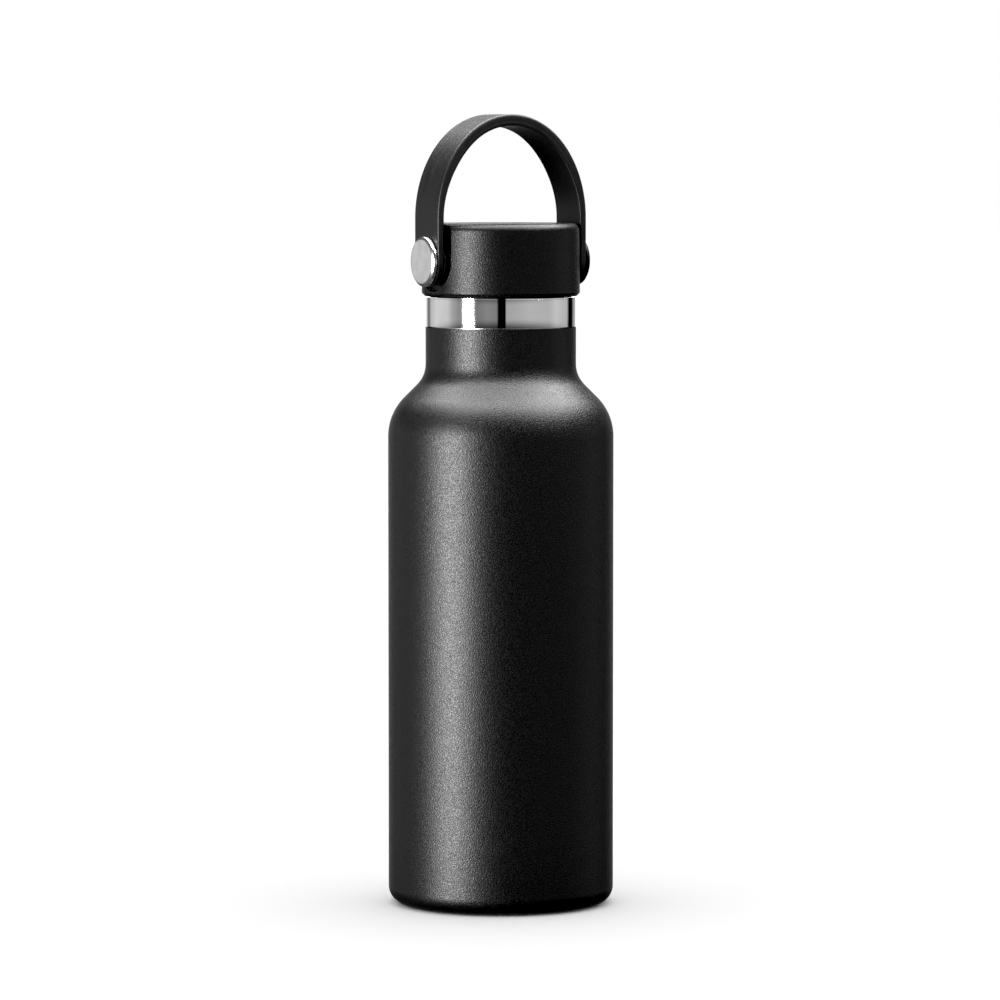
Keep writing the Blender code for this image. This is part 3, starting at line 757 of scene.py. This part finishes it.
def make_materials():
    """Every material, by the name of its slot."""
    return {
        "powder_coat": powder_coat(),
        "cap_plastic": moulded_plastic("cap_plastic", (0.0072, 0.0072, 0.0074), (0.0098, 0.0098, 0.0102),
                                       2200, (0.26, 0.45), 0.1),
        "bearing_plastic": moulded_plastic("bearing_plastic", (0.05, 0.05, 0.05), (0.07, 0.07, 0.07),
                                           1800, (0.4, 0.5), 0.05),
        "polished_steel": steel("polished_steel", (0.045, 0.06), (0.84, 0.88), (0.03, 0.03, 14),
                                300, 0.00002),
        "bare_steel": steel("bare_steel", (0.22, 0.32), (0.60, 0.66), (0.1, 0.1, 10), 300, 0.0005),
        "satin_steel": steel("satin_steel", (0.20, 0.28), (0.68, 0.84), (0.3, 4, 0.3), 500, 0.0006),
        "turned_steel": steel("turned_steel", (0.17, 0.22), (0.80, 0.84), (14, 0.3, 0.3), 300, 0.00005),
        "black_steel": blackened_steel(),
        "strap_rubber": strap_rubber(),
        "silicone": silicone(),
        "foam": foam(),
        "brass": brass(),
    }


def build_bottle():
    materials = make_materials()

    def place(obj, slot, body, node):
        """Finish a piece, say which body it rides on, and hide the CAD node it stands for."""
        give(obj, materials[slot])
        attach(obj, body)
        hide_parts(node)
        return obj

    place(make_shell(), "powder_coat", "bottle", "outer_shell")
    place(make_mouth_band(), "polished_steel", "bottle", "mouth_ring")
    liner = place(make_liner(), "bare_steel", "bottle", "inner_liner")
    paint(liner, materials["polished_steel"], lambda face: face.center.z > RING_HIGH[2] * MM)
    place(make_liner_floor(), "bare_steel", "bottle", "inner_bottom")
    place(make_foot_recess(), "powder_coat", "bottle", "outer_bottom")
    place(make_foot_disc(), "bare_steel", "bottle", "base_cover")
    place(make_seal_ring(), "silicone", "seal", "gasket")
    place(make_cap_body(), "cap_plastic", "cap", "cap_shell")
    place(make_stopper(), "cap_plastic", "cap", "cap_plug")
    place(make_strap(), "strap_rubber", "strap", "strap")
    for word, side in SIDES:
        pin = place(make_pin(word, side), PIN_SLOTS[word], "cap", "pin_" + word)
        if word == "left":
            paint(pin, materials["turned_steel"], lambda face: abs(face.normal.x) < 0.98)
        place(make_washer(word, side), "bearing_plastic", "cap", "washer_" + word)
        place(make_bush(word, side), "bearing_plastic", "strap", "bush_" + word)
    for node, slot in KEPT_NODES.items():
        give(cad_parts[node], materials[slot])


# ---- studio ----

VIEW_DEG = -29.0           # azimuth of the camera about the bottle
VIEW_DISTANCE = 1.70
VIEW_HEIGHT = 0.246
VIEW_AIM_Z = 0.1320
FRAME_WIDTH = 0.3257       # metres across the frame, at the bottle
FRAME_SHIFT = -0.0008      # of the frame's width, which puts the bottle a little right of the middle

# compass angles are counted from the camera's side of the bottle, positive to the camera's right
SOFTBOX_DEG = -51.0
SOFTBOX_HALF_DEG = 8.4
SOFTBOX_DISTANCE = 1.3
SOFTBOX_Z = (-0.30, 0.45)
SOFTBOX_LEVEL = 53.0
OVERHEAD_Z = 1.4
OVERHEAD_SIZE = (2.4, 1.85)
OVERHEAD_SET_BACK = 0.275
OVERHEAD_SET_RIGHT = 0.25
OVERHEAD_LEVEL = 15.5
FLOOR_SIZE = 30.0
BLACK_LEVEL = 0.0115       # the photographer's contrast
AMBIENT_LEVEL = 1.25

BAND_FADE_DEG = (5, 14)    # above and below these angles from the level the bands fade
BAND_FADED = 0.15
TABLE_LEVEL = 0.08         # what steep reflections see of the table
# (compass angle, brightness) of what a mirror in the bottle's place would see on the level
STUDIO_BANDS = [(-180, 2.2), (-174, 0.9), (-160, 0.6), (-155, 0.21), (-143, 0.21), (-140, 0.50),
                (-118, 0.72), (-90, 0.64), (-80, 0.42), (-64, 0.24), (-61, 0.5), (-43, 0.5),
                (-40, 0.18), (-22, 0.27), (-6, 0.24), (-4, 0.003), (7, 0.003),
                (8.5, 0.42), (45, 0.52), (80, 0.50), (95, 0.62),
                (124, 0.50), (130, 0.005), (145, 0.02), (150, 0.30), (165, 0.50), (174, 0.9), (180, 2.2)]


def compass_direction(degrees):
    """Level unit vector at an angle from the camera's side, positive to the camera's right."""
    angle = math.radians(VIEW_DEG + degrees)
    return np.array([math.sin(angle), -math.cos(angle), 0])


def make_camera():
    camera = bpy.data.cameras.new("camera")
    obj = bpy.data.objects.new("camera", camera)
    bpy.context.scene.collection.objects.link(obj)
    camera.sensor_width = 36
    camera.lens = 36 * VIEW_DISTANCE / FRAME_WIDTH
    camera.clip_end = 100
    camera.shift_x = FRAME_SHIFT
    obj.location = compass_direction(0) * VIEW_DISTANCE + np.array([0, 0, VIEW_HEIGHT])
    pitch = math.atan2(VIEW_HEIGHT - VIEW_AIM_Z, VIEW_DISTANCE)
    obj.rotation_euler = (math.pi / 2 - pitch, 0, math.radians(VIEW_DEG))
    bpy.context.scene.camera = obj


def make_floor():
    bpy.ops.mesh.primitive_plane_add(size=FLOOR_SIZE, location=(0, 0, 0))
    floor = bpy.context.object
    floor.name = "studio_floor"
    n = Nodes("studio_floor")
    n.set(Base_Color=n.mix_colours(n.noise(3, 1.0), (0.84, 0.84, 0.84), (0.86, 0.86, 0.86)),
          Roughness=0.9, Specular_IOR_Level=0.1)
    give(floor, n.material)
    floor.visible_glossy = False
    floor.visible_shadow = False


def soft_light(name, centre, target, size, brightness, glossy_only):
    """Rectangular lamp whose face has the given brightness, aimed from its centre at a point."""
    lamp = bpy.data.lights.new(name, "AREA")
    lamp.shape = "RECTANGLE"
    lamp.size, lamp.size_y = size
    lamp.energy = brightness * math.pi * size[0] * size[1]
    obj = bpy.data.objects.new(name, lamp)
    bpy.context.scene.collection.objects.link(obj)
    obj.location = centre
    aim = Vector(np.array(target) - np.array(centre))
    obj.rotation_euler = aim.to_track_quat("-Z", "Y").to_euler()
    obj.visible_camera = False
    obj.visible_diffuse = not glossy_only
    return obj


def make_lights():
    """Tall softbox on the left, whose streak runs down the coating, and a wide one overhead."""
    left = compass_direction(SOFTBOX_DEG) * SOFTBOX_DISTANCE
    middle_z = (SOFTBOX_Z[0] + SOFTBOX_Z[1]) / 2
    width = 2 * SOFTBOX_DISTANCE * math.tan(math.radians(SOFTBOX_HALF_DEG))
    soft_light("left_softbox", left + np.array([0, 0, middle_z]), (0, 0, middle_z),
               (width, SOFTBOX_Z[1] - SOFTBOX_Z[0]), SOFTBOX_LEVEL, glossy_only=True)
    above = compass_direction(180) * OVERHEAD_SET_BACK + compass_direction(90) * OVERHEAD_SET_RIGHT
    above = above + np.array([0, 0, OVERHEAD_Z])
    straight_down = above - np.array([0, 0, OVERHEAD_Z])
    overhead = soft_light("overhead_softbox", above, straight_down, OVERHEAD_SIZE, OVERHEAD_LEVEL,
                          glossy_only=True)
    overhead.rotation_euler = (0, 0, math.radians(VIEW_DEG))


class WorldNodes(Tree):
    """Short way to build the studio's world."""

    def math(self, operation, first, second):
        node = self.add("ShaderNodeMath", operation=operation)
        self.feed(first, node.inputs[0])
        self.feed(second, node.inputs[1])
        return node.outputs[0]

    def background(self, strength):
        node = self.add("ShaderNodeBackground")
        node.inputs["Color"].default_value = (1, 1, 1, 1)
        self.feed(strength, node.inputs["Strength"])
        return node.outputs["Background"]

    def choose(self, switch, otherwise, chosen):
        node = self.add("ShaderNodeMixShader")
        self.link(switch, node.inputs["Fac"])
        self.link(otherwise, node.inputs[1])
        self.link(chosen, node.inputs[2])
        return node.outputs["Shader"]


def studio_axes(n):
    """A reflection's direction, as X to the camera's right, Y away from the camera and Z up."""
    turn = n.add("ShaderNodeVectorRotate", rotation_type="Z_AXIS")
    turn.inputs["Angle"].default_value = -math.radians(VIEW_DEG)
    n.link(n.add("ShaderNodeTexCoord").outputs["Generated"], turn.inputs["Vector"])
    split = n.add("ShaderNodeSeparateXYZ")
    n.link(turn.outputs["Vector"], split.inputs["Vector"])
    return split.outputs


def studio_bands(n, axes):
    """Brightness of the bands, by compass angle."""
    compass = n.math("ARCTAN2", axes["X"], n.math("MULTIPLY", axes["Y"], -1.0))
    compass = n.math("ADD", n.math("DIVIDE", compass, 2 * math.pi), 0.5)
    bands = n.add("ShaderNodeValToRGB")
    elements = bands.color_ramp.elements
    while len(elements) < len(STUDIO_BANDS):
        elements.new(0.5)
    for element, (degrees, level) in zip(elements, STUDIO_BANDS):
        element.position = 0.5 + degrees / 360
        element.color = (level, level, level, 1)
    n.link(compass, bands.inputs["Fac"])
    return bands.outputs["Color"]


def band_fade(n, height):
    """How much of the bands is left above and below the level."""
    fade = n.add("ShaderNodeMapRange", interpolation_type="SMOOTHSTEP")
    fade.inputs["From Min"].default_value = math.sin(math.radians(BAND_FADE_DEG[0]))
    fade.inputs["From Max"].default_value = math.sin(math.radians(BAND_FADE_DEG[1]))
    fade.inputs["To Min"].default_value = 1.0
    fade.inputs["To Max"].default_value = BAND_FADED
    n.link(n.math("ABSOLUTE", height, 0.0), fade.inputs["Value"])
    return fade.outputs["Result"]


def make_world():
    """Studio around the bottle. Reflections see bands by compass angle; the rest is even light."""
    world = bpy.data.worlds.new("studio")
    bpy.context.scene.world = world
    world.use_nodes = True
    world.cycles.sampling_method = "NONE"
    world.node_tree.nodes.clear()
    n = WorldNodes(world.node_tree)
    axes = studio_axes(n)
    level = n.math("MULTIPLY", studio_bands(n, axes), band_fade(n, axes["Z"]))
    table = n.math("MULTIPLY", n.math("LESS_THAN", axes["Z"], -0.5), TABLE_LEVEL)
    reflected = n.background(n.math("MAXIMUM", level, table))
    ray = n.add("ShaderNodeLightPath").outputs
    shader = n.choose(ray["Is Glossy Ray"], n.background(AMBIENT_LEVEL), reflected)
    shader = n.choose(ray["Is Camera Ray"], shader, n.background(1.0))
    n.link(shader, n.add("ShaderNodeOutputWorld").inputs["Surface"])


def build_studio():
    make_camera()
    make_floor()
    make_lights()
    make_world()
    view = bpy.context.scene.view_settings
    view.view_transform = "Standard"
    view.use_curve_mapping = True
    view.curve_mapping.black_level = (BLACK_LEVEL, BLACK_LEVEL, BLACK_LEVEL)
    view.curve_mapping.update()


build_studio()
build_bottle()
